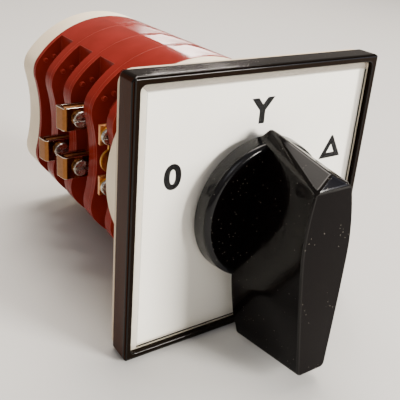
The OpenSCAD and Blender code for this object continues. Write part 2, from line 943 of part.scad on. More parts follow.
bezel_frame();
gasket();
label_plate();
clear_cover();
plate_screws();
handle();
grub_screw();
shaft();
index_housing();
index_wheel();
stop_disc();
index_springs();
deck(1);  // deck_1
deck(2);  // deck_2
deck(3);  // deck_3
deck(4);  // deck_4
cam(1);  // cam_1
cam(2);  // cam_2
cam(3);  // cam_3
cam(4);  // cam_4
plunger(1);  // plunger_left_1
plunger(2);  // plunger_left_2
plunger(3);  // plunger_left_3
plunger(4);  // plunger_left_4
rotate([0, 180, 0]) plunger(1);  // plunger_right_1
rotate([0, 180, 0]) plunger(2);  // plunger_right_2
rotate([0, 180, 0]) plunger(3);  // plunger_right_3
rotate([0, 180, 0]) plunger(4);  // plunger_right_4
bridge(1);  // bridge_left_1
bridge(2);  // bridge_left_2
bridge(3);  // bridge_left_3
bridge(4);  // bridge_left_4
rotate([0, 180, 0]) bridge(1);  // bridge_right_1
rotate([0, 180, 0]) bridge(2);  // bridge_right_2
rotate([0, 180, 0]) bridge(3);  // bridge_right_3
rotate([0, 180, 0]) bridge(4);  // bridge_right_4
contact_springs();
fixed_contacts(1);  // fixed_contacts_1
fixed_contacts(2);  // fixed_contacts_2
fixed_contacts(3);  // fixed_contacts_3
fixed_contacts(4);  // fixed_contacts_4
clamps_left();
clamps_right();
link_strap();
terminal_screws_left();
terminal_screws_right();
rear_plate();
tie_screws();
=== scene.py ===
"""Looks of a panel-mounted rotary cam switch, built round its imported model."""

import json
import math

import bmesh
import bpy
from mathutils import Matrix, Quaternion, Vector

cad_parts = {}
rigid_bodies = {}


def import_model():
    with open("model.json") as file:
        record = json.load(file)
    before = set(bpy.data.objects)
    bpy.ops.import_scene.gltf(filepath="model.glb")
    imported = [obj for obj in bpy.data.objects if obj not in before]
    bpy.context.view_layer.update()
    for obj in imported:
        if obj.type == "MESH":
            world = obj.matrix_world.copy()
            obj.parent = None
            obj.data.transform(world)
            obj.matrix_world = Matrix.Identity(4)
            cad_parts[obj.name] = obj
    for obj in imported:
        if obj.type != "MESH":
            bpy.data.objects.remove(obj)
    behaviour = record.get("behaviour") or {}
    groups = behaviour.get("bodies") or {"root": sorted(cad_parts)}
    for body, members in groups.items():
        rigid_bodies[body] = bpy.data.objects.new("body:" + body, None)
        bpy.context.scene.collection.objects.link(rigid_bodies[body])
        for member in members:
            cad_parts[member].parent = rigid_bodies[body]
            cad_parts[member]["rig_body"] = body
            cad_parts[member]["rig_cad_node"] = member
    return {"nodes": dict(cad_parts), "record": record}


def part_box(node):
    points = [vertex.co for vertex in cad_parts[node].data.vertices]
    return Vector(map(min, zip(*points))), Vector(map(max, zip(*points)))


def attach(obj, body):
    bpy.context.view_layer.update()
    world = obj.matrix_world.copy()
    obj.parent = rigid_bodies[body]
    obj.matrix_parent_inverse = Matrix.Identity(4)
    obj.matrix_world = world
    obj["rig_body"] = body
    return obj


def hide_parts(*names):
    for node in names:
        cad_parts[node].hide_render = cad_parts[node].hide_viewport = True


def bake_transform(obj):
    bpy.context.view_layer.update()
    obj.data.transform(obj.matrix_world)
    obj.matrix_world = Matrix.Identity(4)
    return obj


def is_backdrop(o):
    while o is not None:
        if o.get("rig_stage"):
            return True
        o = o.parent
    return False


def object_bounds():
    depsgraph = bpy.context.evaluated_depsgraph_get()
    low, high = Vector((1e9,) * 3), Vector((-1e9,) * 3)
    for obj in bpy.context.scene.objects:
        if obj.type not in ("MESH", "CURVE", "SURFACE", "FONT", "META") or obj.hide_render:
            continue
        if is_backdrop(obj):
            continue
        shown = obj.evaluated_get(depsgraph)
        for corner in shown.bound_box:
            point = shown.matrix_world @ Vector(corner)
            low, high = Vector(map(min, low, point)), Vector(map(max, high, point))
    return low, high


bl_info = {
    "name": "Rotary cam switch",
    "version": (1, 0, 0),
    "blender": (4, 5, 0),
    "location": "View3D > Sidebar > Cam switch",
    "description": "Finishes, lettering and fine detail for a rotary cam switch",
    "category": "Object",
}

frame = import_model()
NODES = frame["nodes"]
MM = 0.001
DECKS = ("1", "2", "3", "4")
SIDES = ("left", "right")
PARTS = {part["node"]: part for part in frame["record"]["subparts"]}

# Finishes by name, which the first operator makes
FINISH = {}

# Text marks on the label: name, sign, place of the middle, width and share of the
# extra thickness. Then the triangle's place and width. Lengths in millimetres.
TEXT_MARKS = (
    ("mark_zero", "0", (-21.4, 9.9), 4.2, 1.0),
    ("mark_star", "Y", (0.2, 21.5), 6.3, 1.35),
)
TRIANGLE_AT, TRIANGLE_WIDTH = (22.7, 10.1), 6.9

# Round base of the handle, in millimetres, as in the part's source
BASE_R, BASE_FRONT_R, BASE_BACK_Y, BASE_FRONT_Y = 16.6, 16.1, -6.6, -10.5

# Sockets of a Mix node that mixes two colours
MIX_A, MIX_B, MIX_RESULT = 6, 7, 2


# Settings


def size(name, text, default):
    """A length property, given in millimetres and kept in metres."""
    return bpy.props.FloatProperty(
        name=name, description=text, default=default * MM, min=0.0, unit="LENGTH", precision=5
    )


def share(name, text, default):
    """A number property from nothing to all."""
    return bpy.props.FloatProperty(
        name=name, description=text, default=default, min=0.0, max=1.0, subtype="FACTOR"
    )


def shade(name, text, default):
    """A colour property, given as an sRGB hex value."""
    return bpy.props.StringProperty(name=name, description=text, default=default)


class PlateSettings(bpy.types.PropertyGroup):
    """Front plate: frame, cover, label and its lettering."""

    edge: size("Frame edge", "Softness of the frame's moulded edges", 0.25)
    # painted shade: the dark line inside the cover's bevel
    line: size("Cover line", "Width of the shaded line inside the cover's bevel", 0.22)
    letter_height: size("Letter height", "Height of the position marks", 5.8)
    letter_weight: size("Letter weight", "Extra thickness of the strokes", 0.3)
    stroke: size("Triangle stroke", "Width of the triangle's printed line", 1.3)
    letter_color: shade("Letter colour", "Near-black print", "#080808")
    polish: share("Polish", "Strength of the frame's reflections", 0.06)
    frame_color: shade("Frame colour", "Black gloss thermoset", "#0B0705")
    # painted reflection: brown painted on the frame's sides for the brown they mirror
    side_reflection_color: shade("Side colour", "Brown reflection painted on the frame's sides", "#2E1104")
    label_color: shade("Label colour", "White painted sheet", "#F4F1E7")
    gasket_color: shade("Gasket colour", "Pale sealing board", "#D6C4AB")


class HandleSettings(bpy.types.PropertyGroup):
    """Lever handle on its round base."""

    edge: size("Blade edge", "Rounding of the blade's edges", 0.45)
    base_edge: size("Base edge", "Rounding of the base's front edge", 1.2)
    color: shade("Handle colour", "Polished black thermoset", "#050303")
    polish: share("Polish", "Strength of the polished skin's reflections", 0.052)


class BodySettings(bpy.types.PropertyGroup):
    """Housing, contact decks and rear plate."""

    edge: size("Rib edge", "Softness of the moulded rib edges", 0.12)
    deck_color: shade("Deck colour", "Brick-red phenolic", "#83231C")
    deck_dark: shade("Deck shadow colour", "Darker flow marks in the phenolic", "#701C12")
    # lighter edge colour: wear, with a painted highlight along the rib edges
    worn_and_highlight_color: shade("Edge wear and highlight colour", "Phenolic where its edges are rubbed, with a painted highlight", "#983628")
    cream_color: shade("Cream colour", "Cream housing and rear plate", "#F4E6CE")


class MetalSettings(bpy.types.PropertyGroup):
    """Clamps, screws, springs and strips."""

    edge: size("Sheet edge", "Softness of the stamped metal's edges", 0.15)
    bend: size("Clamp bend", "Outer radius of the bent corners of the clamps", 0.88)
    # painted reflection: the nickel's colour is darkened to brown for the brown surroundings it
    # mirrors
    nickel_and_reflection_color: shade("Nickel colour", "Nickel plating over brass", "#80532C")
    # painted highlight: a pale colour along the plating's edges, so they look lit
    nickel_edge_highlight: shade("Nickel edge highlight colour", "Highlight painted along the plating's edges", "#E6DED2")
    zinc_color: shade("Zinc colour", "Zinc plated steel", "#C6C4BE")
    brass_color: shade("Brass colour", "Rolled brass", "#C9933F")


class StudioSettings(bpy.types.PropertyGroup):
    """Floor, lights and camera."""

    floor_color: shade("Floor colour", "Plain pale floor", "#C2C1BE")
    light_power: bpy.props.FloatProperty(
        name="Light power", description="Power from which each light takes its share",
        default=14.0, min=0.0, unit="POWER",
    )
    fill_level: share("Fill level", "Brightness of the surroundings", 0.42)


# Small functions


def linear(hex_color):
    """Linear colour of an sRGB hex value, opaque."""
    parts = [int(hex_color[i : i + 2], 16) / 255 for i in (1, 3, 5)]
    return (*(p / 12.92 if p <= 0.04045 else ((p + 0.055) / 1.055) ** 2.4 for p in parts), 1.0)


def add_node(tree, kind, links=(), inputs=None, **settings):
    """Adds a node with its settings, its input values and its links."""
    made = tree.nodes.new(kind)
    for key, value in settings.items():
        setattr(made, key, value)
    for key, value in (inputs or {}).items():
        made.inputs[key].default_value = value
    for key, source in links:
        tree.links.new(source, made.inputs[key])
    return made


def blank_material(name, **values):
    """A new material with its Principled shader and object coordinates."""
    made = bpy.data.materials.new(name)
    made.use_nodes = True
    tree = made.node_tree
    tree.nodes.clear()
    skin = add_node(tree, "ShaderNodeBsdfPrincipled")
    for key, value in values.items():
        skin.inputs[key.replace("_", " ")].default_value = value
    add_node(tree, "ShaderNodeOutputMaterial", [("Surface", skin.outputs[0])])
    place = add_node(tree, "ShaderNodeTexCoord").outputs["Object"]
    return made, tree, skin, place


def finish_node(name, material):
    """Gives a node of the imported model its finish."""
    obj = NODES[name]
    obj.data.materials.clear()
    obj.data.materials.append(material)


def clear_selection():
    """Leaves edit mode and deselects everything."""
    if bpy.context.object and bpy.context.object.mode != "OBJECT":
        bpy.ops.object.mode_set(mode="OBJECT")
    bpy.ops.object.select_all(action="DESELECT")


def pick(obj):
    """Selects one object alone and makes it the active one."""
    clear_selection()
    obj.select_set(True)
    bpy.context.view_layer.objects.active = obj


def done(obj, name, body, slot, material, *instead_of):
    """Names a finished piece and ties it to its body, finish and node."""
    obj.name = name
    obj.data.name = name
    if material not in obj.data.materials[:]:
        obj.data.materials.clear()
        obj.data.materials.append(material)
    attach(obj, body)
    if instead_of:
        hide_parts(*instead_of)


# Materials


def moulded_thermoset(name, hex_main, hex_dark, roughness, mark_size, specular):
    """Compression-moulded thermoset: even colour with faint flow marks of the
    given size in millimetres, and the fine orange-peel of the mould's skin."""
    made, tree, skin, place = blank_material(name, Specular_IOR_Level=specular, IOR=1.6)
    flow = add_node(
        tree, "ShaderNodeTexNoise", [("Vector", place)],
        {"Scale": 1 / (mark_size * MM), "Detail": 3.0, "Roughness": 0.5},
    )
    tint = add_node(tree, "ShaderNodeValToRGB", [("Fac", flow.outputs["Fac"])])
    tint.color_ramp.elements[0].position = 0.2
    tint.color_ramp.elements[0].color = linear(hex_dark)
    tint.color_ramp.elements[1].position = 0.75
    tint.color_ramp.elements[1].color = linear(hex_main)
    tree.links.new(tint.outputs[0], skin.inputs["Base Color"])
    # mould skin: grain of about 0.4 mm
    grain = add_node(
        tree, "ShaderNodeTexNoise", [("Vector", place)],
        {"Scale": 1 / (0.4 * MM), "Detail": 2.0},
    )
    dull = add_node(
        tree, "ShaderNodeMapRange", [("Value", flow.outputs["Fac"])],
        {"To Min": roughness - 0.06, "To Max": roughness + 0.08},
    )
    tree.links.new(dull.outputs[0], skin.inputs["Roughness"])
    bump = add_node(
        tree, "ShaderNodeBump", [("Height", grain.outputs["Fac"])],
        {"Strength": 0.08, "Distance": 0.02 * MM},
    )
    tree.links.new(bump.outputs[0], skin.inputs["Normal"])
    return made


def polished_black(name, hex_color, roughness, gloss, reflection_tint="#FFFFFF", hex_side_reflection=None):
    """Black thermoset pressed in a polished mould: mirror gloss, dulled a little by
    hands, with a few specks of dust. A reflection tint paints its reflections warm,
    and with a side reflection colour a brown reflection is painted on its outer sides."""
    made, tree, skin, place = blank_material(
        name, IOR=1.5, Specular_IOR_Level=gloss, Specular_Tint=linear(reflection_tint)
    )
    # at most one grain of dust in a cell, drawn coarser than the real dust
    cell, grain_r, clean = 0.8 * MM, 0.12, 0.72
    grains = add_node(
        tree, "ShaderNodeTexVoronoi", [("Vector", place)], {"Scale": 1 / cell}
    )
    near = add_node(
        tree, "ShaderNodeMath", [(0, grains.outputs["Distance"])], {1: grain_r},
        operation="LESS_THAN",
    )
    few = add_node(
        tree, "ShaderNodeMath", [(0, grains.outputs["Color"])], {1: clean},
        operation="GREATER_THAN",
    )
    both = add_node(
        tree, "ShaderNodeMath", [(0, near.outputs[0]), (1, few.outputs[0])],
        operation="MULTIPLY",
    )
    tint = add_node(tree, "ShaderNodeValToRGB", [("Fac", both.outputs[0])])
    tint.color_ramp.elements[0].color = linear(hex_color)
    tint.color_ramp.elements[1].color = linear("#5C5851")
    color = tint.outputs[0]
    if hex_side_reflection:
        # painted reflection: brown over the last half millimetre up to the frame's outer sides
        side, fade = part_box("bezel_frame")[1].x, 0.5 * MM
        spot = add_node(tree, "ShaderNodeSeparateXYZ", [("Vector", place)])
        aside = add_node(
            tree, "ShaderNodeMath", [(0, spot.outputs["X"])], operation="ABSOLUTE"
        )
        outer = add_node(
            tree, "ShaderNodeMapRange", [("Value", aside.outputs[0])],
            {"From Min": side - fade, "From Max": side},
        )
        painted_side_reflection = add_node(
            tree, "ShaderNodeMix", [(0, outer.outputs[0]), (MIX_A, color)],
            {MIX_B: linear(hex_side_reflection)}, data_type="RGBA",
        )
        color = painted_side_reflection.outputs[MIX_RESULT]
    tree.links.new(color, skin.inputs["Base Color"])
    wipe = add_node(
        tree, "ShaderNodeTexNoise", [("Vector", place)],
        {"Scale": 1 / (6.0 * MM), "Detail": 5.0},
    )
    dull = add_node(
        tree, "ShaderNodeMapRange", [("Value", wipe.outputs["Fac"])],
        {"From Min": 0.35, "From Max": 0.75, "To Min": roughness, "To Max": roughness + 0.04},
    )
    tree.links.new(dull.outputs[0], skin.inputs["Roughness"])
    return made


def plated_metal(name, hex_color, roughness, streak=0.0):
    """Plated or rolled metal: bright, with scuffs of 0.8 mm, drawn coarser than real
    ones. A streak brings them closer together along the switch, as rolling does."""
    made, tree, skin, place = blank_material(name, Metallic=1.0)
    stretch = add_node(
        tree, "ShaderNodeMapping", [("Vector", place)], {"Scale": (1.0, 1.0 + streak, 1.0)}
    )
    scuff = add_node(
        tree, "ShaderNodeTexNoise", [("Vector", stretch.outputs[0])],
        {"Scale": 1 / (0.8 * MM), "Detail": 4.0},
    )
    tint = add_node(tree, "ShaderNodeValToRGB", [("Fac", scuff.outputs["Fac"])])
    base = linear(hex_color)
    tint.color_ramp.elements[0].position = 0.3
    tint.color_ramp.elements[0].color = (*(0.78 * c for c in base[:3]), 1.0)
    tint.color_ramp.elements[1].position = 0.6
    tint.color_ramp.elements[1].color = base
    tree.links.new(tint.outputs[0], skin.inputs["Base Color"])
    dull = add_node(
        tree, "ShaderNodeMapRange", [("Value", scuff.outputs["Fac"])],
        {"To Min": roughness - 0.05, "To Max": roughness + 0.1},
    )
    tree.links.new(dull.outputs[0], skin.inputs["Roughness"])
    bump = add_node(
        tree, "ShaderNodeBump", [("Height", scuff.outputs["Fac"])],
        {"Strength": 0.1, "Distance": 0.02 * MM},
    )
    tree.links.new(bump.outputs[0], skin.inputs["Normal"])
    return made


def painted_sheet(name, hex_color):
    """White enamel baked on a thin aluminium sheet: satin and slightly uneven."""
    made, tree, skin, place = blank_material(name, Roughness=0.45, IOR=1.5)
    cloud = add_node(
        tree, "ShaderNodeTexNoise", [("Vector", place)],
        {"Scale": 1 / (14.0 * MM), "Detail": 5.0},
    )
    tint = add_node(tree, "ShaderNodeValToRGB", [("Fac", cloud.outputs["Fac"])])
    base = linear(hex_color)
    tint.color_ramp.elements[0].position = 0.25
    tint.color_ramp.elements[0].color = (*(0.95 * c for c in base[:3]), 1.0)
    tint.color_ramp.elements[1].position = 0.6
    tint.color_ramp.elements[1].color = base
    tree.links.new(tint.outputs[0], skin.inputs["Base Color"])
    return made


def clear_acrylic(name, hex_color, alpha):
    """Moulded and polished clear acrylic: glossy, with fine scratches. Its broad
    face is almost all clear; the light that its bevelled rim bends is painted into a denser
    colour."""
    made, tree, skin, place = blank_material(
        name, Base_Color=linear(hex_color), Roughness=0.04, IOR=1.49, Alpha=alpha
    )
    scratch = add_node(
        tree, "ShaderNodeTexNoise", [("Vector", place)],
        {"Scale": 1 / (2.5 * MM), "Detail": 6.0},
    )
    dull = add_node(
        tree, "ShaderNodeMapRange", [("Value", scratch.outputs["Fac"])],
        {"From Min": 0.4, "From Max": 0.8, "To Min": 0.03, "To Max": 0.12},
    )
    tree.links.new(dull.outputs[0], skin.inputs["Roughness"])
    return made


def pressed_board(name, hex_color):
    """Pressed sealing board: matt, with short fibres of about 0.5 mm."""
    made, tree, skin, place = blank_material(name, Roughness=0.85, IOR=1.45)
    fibre = add_node(
        tree, "ShaderNodeTexNoise", [("Vector", place)],
        {"Scale": 1 / (0.5 * MM), "Detail": 6.0, "Distortion": 1.5},
    )
    tint = add_node(tree, "ShaderNodeValToRGB", [("Fac", fibre.outputs["Fac"])])
    base = linear(hex_color)
    tint.color_ramp.elements[0].color = (*(0.8 * c for c in base[:3]), 1.0)
    tint.color_ramp.elements[1].color = base
    tree.links.new(tint.outputs[0], skin.inputs["Base Color"])
    return made


def polyamide(name, hex_color, roughness):
    """Injection-moulded polyamide: satin, slightly waxy and translucent."""
    made, tree, skin, place = blank_material(
        name, IOR=1.53, Subsurface_Weight=0.15, Subsurface_Scale=0.6 * MM
    )
    cloud = add_node(
        tree, "ShaderNodeTexNoise", [("Vector", place)],
        {"Scale": 1 / (3.0 * MM), "Detail": 4.0},
    )
    tint = add_node(tree, "ShaderNodeValToRGB", [("Fac", cloud.outputs["Fac"])])
    base = linear(hex_color)
    tint.color_ramp.elements[0].color = (*(0.86 * c for c in base[:3]), 1.0)
    tint.color_ramp.elements[1].color = base
    tree.links.new(tint.outputs[0], skin.inputs["Base Color"])
    dull = add_node(
        tree, "ShaderNodeMapRange", [("Value", cloud.outputs["Fac"])],
        {"To Min": roughness - 0.05, "To Max": roughness + 0.08},
    )
    tree.links.new(dull.outputs[0], skin.inputs["Roughness"])
    return made


def printed_ink(name, hex_color):
    """Screen-printed ink: near black, satin, with slight unevenness."""
    made, tree, skin, place = blank_material(name, Roughness=0.5, Specular_IOR_Level=0.08)
    cloud = add_node(
        tree, "ShaderNodeTexNoise", [("Vector", place)],
        {"Scale": 1 / (0.6 * MM), "Detail": 3.0},
    )
    tint = add_node(tree, "ShaderNodeValToRGB", [("Fac", cloud.outputs["Fac"])])
    base = linear(hex_color)
    tint.color_ramp.elements[0].color = (*(0.85 * c for c in base[:3]), 1.0)
    tint.color_ramp.elements[1].color = (*(1.3 * c for c in base[:3]), 1.0)
    tree.links.new(tint.outputs[0], skin.inputs["Base Color"])
    return made


# Pieces


def smooth(obj, angle=35.0):
    """Shades curves smooth and keeps broad faces flat up to their rounded edges."""
    pick(obj)
    bpy.ops.object.shade_smooth_by_angle(angle=math.radians(angle))
    even = obj.modifiers.new("even faces", "WEIGHTED_NORMAL")
    even.keep_sharp = True
    bpy.ops.object.modifier_apply(modifier=even.name)


def give_finishes(obj, *finishes):
    """Gives a piece its finishes, with all its faces in the first."""
    obj.data.materials.clear()
    for finish in finishes:
        obj.data.materials.append(finish)


def finish_faces(obj, number):
    """In edit mode, gives the selected faces one of the piece's finishes."""
    obj.active_material_index = number
    bpy.ops.object.material_slot_assign()


def round_edges(obj, width, segments=2, angle=30.0, finish=-1):
    """Rounds the edges that are sharper than the angle, and gives them one of
    the piece's finishes, or that of the faces beside them."""
    pick(obj)
    bevel = obj.modifiers.new("edges", "BEVEL")
    bevel.width = width
    bevel.segments = segments
    bevel.limit_method = "ANGLE"
    bevel.angle_limit = math.radians(angle)
    bevel.miter_outer = "MITER_ARC"
    bevel.use_clamp_overlap = False
    bevel.material = finish
    bpy.ops.object.modifier_apply(modifier=bevel.name)


def copy_of(node):
    """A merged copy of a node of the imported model, with its flat faces whole."""
    pick(NODES[node])
    bpy.ops.object.duplicate()
    made = bpy.context.object
    del made["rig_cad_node"]
    bpy.ops.object.mode_set(mode="EDIT")
    bpy.ops.mesh.select_all(action="SELECT")
    bpy.ops.mesh.customdata_custom_splitnormals_clear()
    bpy.ops.mesh.remove_doubles(threshold=0.02 * MM)
    bpy.ops.mesh.dissolve_limited(angle_limit=math.radians(0.5))
    bpy.ops.object.mode_set(mode="OBJECT")
    return made


def dress(obj, node):
    """Ties a finished piece to the body, finish and place of a node."""
    slot = PARTS[node]["material_slot"]
    body = NODES[node]["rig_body"]
    done(obj, node + "_dressed", body, slot, FINISH[slot], node)


def soften(node, edge, segments=2, worn=None):
    """Stands for a node: the same shape with the soft edges of the real piece,
    which can have a finish of their own: a painted edge highlight, on the decks also wear."""
    made = copy_of(node)
    if worn:
        give_finishes(made, FINISH[PARTS[node]["material_slot"]], worn)
    round_edges(made, edge, segments, finish=1 if worn else -1)
    smooth(made)
    dress(made, node)


def select_where(obj, test, kind="VERT"):
    """In edit mode, selects the vertices, edges or faces that pass the test."""
    bpy.ops.mesh.select_mode(type=kind)
    bpy.ops.mesh.select_all(action="DESELECT")
    shape = bmesh.from_edit_mesh(obj.data)
    for part in {"VERT": shape.verts, "EDGE": shape.edges, "FACE": shape.faces}[kind]:
        if test(part):
            part.select_set(True)
    shape.select_flush_mode()
    bmesh.update_edit_mesh(obj.data)


def settle(obj):
    """Puts an object's place, turn and size into its mesh."""
    pick(obj)
    bpy.ops.object.transform_apply(location=True, rotation=True, scale=True)
    return obj


def rod(radius, start, end, sides):
    """A round bar between two points, in millimetres."""
    start, end = Vector(start), Vector(end)
    clear_selection()
    bpy.ops.mesh.primitive_cylinder_add(
        vertices=sides, radius=radius * MM, depth=(end - start).length * MM,
        location=(start + end) / 2 * MM,
        rotation=(end - start).to_track_quat("Z", "Y").to_euler(),
    )
    return settle(bpy.context.object)


def block(low, high):
    """A square bar between two corners, in millimetres."""
    low, high = Vector(low), Vector(high)
    clear_selection()
    bpy.ops.mesh.primitive_cube_add(size=1, location=(low + high) / 2 * MM)
    bpy.context.object.scale = (high - low) * MM
    return settle(bpy.context.object)


def combine(obj, other, how):
    """Adds another solid to this one, or cuts it away, and removes the other."""
    pick(obj)
    step = obj.modifiers.new("solid", "BOOLEAN")
    step.operation = how
    step.object = other
    step.solver = "EXACT"
    bpy.ops.object.modifier_apply(modifier=step.name)
    bpy.data.objects.remove(other)


def join(objs):
    """Several objects as one."""
    clear_selection()
    for obj in objs:
        obj.select_set(True)
    bpy.context.view_layer.objects.active = objs[0]
    bpy.ops.object.join()
    return bpy.context.object


class CAM_SWITCH_OT_front_plate(bpy.types.Operator):
    """Dresses the frame, gasket, label, cover and plate screws"""

    bl_idname = "cam_switch.front_plate"
    bl_label = "Front plate"

    def execute(self, context):
        plate = context.scene.plate_settings
        # how squarely the broad face looks forward, and how far out the bevel starts
        broad, rim_from = 0.97, 20 * MM
        # the frame's rounded edges get the painted edge highlight
        soften("bezel_frame", plate.edge, segments=3, worn=FINISH["blade edge"])
        soften("gasket", 0.15 * MM)
        soften("label_plate", 0.06 * MM)
        cover = copy_of("clear_cover")
        # the cover lies on the label with a film of air between them
        label_y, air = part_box("label_plate")[0].y, 0.03 * MM
        bpy.ops.object.mode_set(mode="EDIT")
        select_where(cover, lambda v: v.co.y > label_y - 0.01 * MM)
        bpy.ops.transform.translate(value=(0, -air, 0))
        bpy.ops.object.mode_set(mode="OBJECT")
        give_finishes(
            cover, FINISH["clear"], FINISH["clear rim"], FINISH["rim shade"], FINISH["dark rim"]
        )
        # numbers of the finishes after the first
        rim, line, dark = 1, 2, 3
        bpy.ops.object.mode_set(mode="EDIT")
        # painted light: the bevel's faces are drawn dense and pale cream, for the light the
        # bevel bends
        select_where(
            cover,
            lambda f: -broad < f.normal.y < 0.5 and f.calc_center_median().length > rim_from,
            "FACE",
        )
        finish_faces(cover, rim)
        # painted shade: its upper and right sides are painted dark, for the dark frame seen
        # through the bevel
        select_where(
            cover,
            lambda f: -broad < f.normal.y < -0.1 and max(f.normal.x, f.normal.z) > 0.2
            and f.calc_center_median().length > rim_from,
            "FACE",
        )
        finish_faces(cover, dark)
        # the bevel ends in a fine line of painted shade on the broad face
        select_where(cover, lambda f: f.normal.y < -broad, "FACE")
        bpy.ops.mesh.inset(thickness=plate.line, use_select_inset=True)
        finish_faces(cover, line)
        bpy.ops.object.mode_set(mode="OBJECT")
        smooth(cover)
        dress(cover, "clear_cover")
        soften("plate_screws", 0.12 * MM)
        return {"FINISHED"}


def lay_mark(mark, at, width, height, face):
    """Sizes a flat mark and lays it on the label, just in front of its face, with
    its middle at a place in millimetres."""
    settle(mark)
    spots = [v.co for v in mark.data.vertices]
    low = Vector(min(c[i] for c in spots) for i in range(3))
    high = Vector(max(c[i] for c in spots) for i in range(3))
    mark.location = -(low + high) / 2
    settle(mark)
    mark.scale = (width / (high.x - low.x), 1, height / (high.z - low.z))
    settle(mark)
    proud = 0.015 * MM
    mark.location = (at[0] * MM, face - proud, at[1] * MM)
    return settle(mark)


class CAM_SWITCH_OT_lettering(bpy.types.Operator):
    """Prints the three position marks 0, Y and a triangle on the label"""

    bl_idname = "cam_switch.lettering"
    bl_label = "Position marks"

    def execute(self, context):
        plate = context.scene.plate_settings
        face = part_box("label_plate")[0].y
        high, half_thick = plate.letter_height, 0.01 * MM
        ink = printed_ink("screen-printed ink", plate.letter_color)
        for name, sign, at, width, weight in TEXT_MARKS:
            clear_selection()
            bpy.ops.object.text_add(rotation=(math.pi / 2, 0, 0))
            text = context.object
            text.data.body = sign
            text.data.size = 8 * MM
            text.data.offset = plate.letter_weight * weight
            text.data.extrude = half_thick
            text.data.resolution_u = 12
            bpy.ops.object.convert(target="MESH")
            mark = lay_mark(context.object, at, width * MM, high, face)
            done(mark, name, "switch_body", "label", ink)
        clear_selection()
        bpy.ops.mesh.primitive_cylinder_add(
            vertices=3, radius=3.6 * MM, depth=2 * half_thick, end_fill_type="NGON",
            rotation=(math.pi / 2, 0, 0),
        )
        # the triangle is a little higher than the letters
        mark = lay_mark(context.object, TRIANGLE_AT, TRIANGLE_WIDTH * MM, high * 1.05, face)
        bpy.ops.object.mode_set(mode="EDIT")
        select_where(mark, lambda f: len(f.verts) == 3, "FACE")
        bpy.ops.mesh.inset(thickness=plate.stroke)
        bpy.ops.mesh.bridge_edge_loops()
        # the apex is cut flat, as the print is
        tip = max(v.co.z for v in mark.data.vertices) - 0.01 * MM
        select_where(mark, lambda e: all(v.co.z > tip for v in e.verts), "EDGE")
        bpy.ops.mesh.bevel(offset=0.45 * MM, segments=1, affect="EDGES")
        bpy.ops.object.mode_set(mode="OBJECT")
        done(mark, "mark_delta", "switch_body", "label", ink)
        return {"FINISHED"}


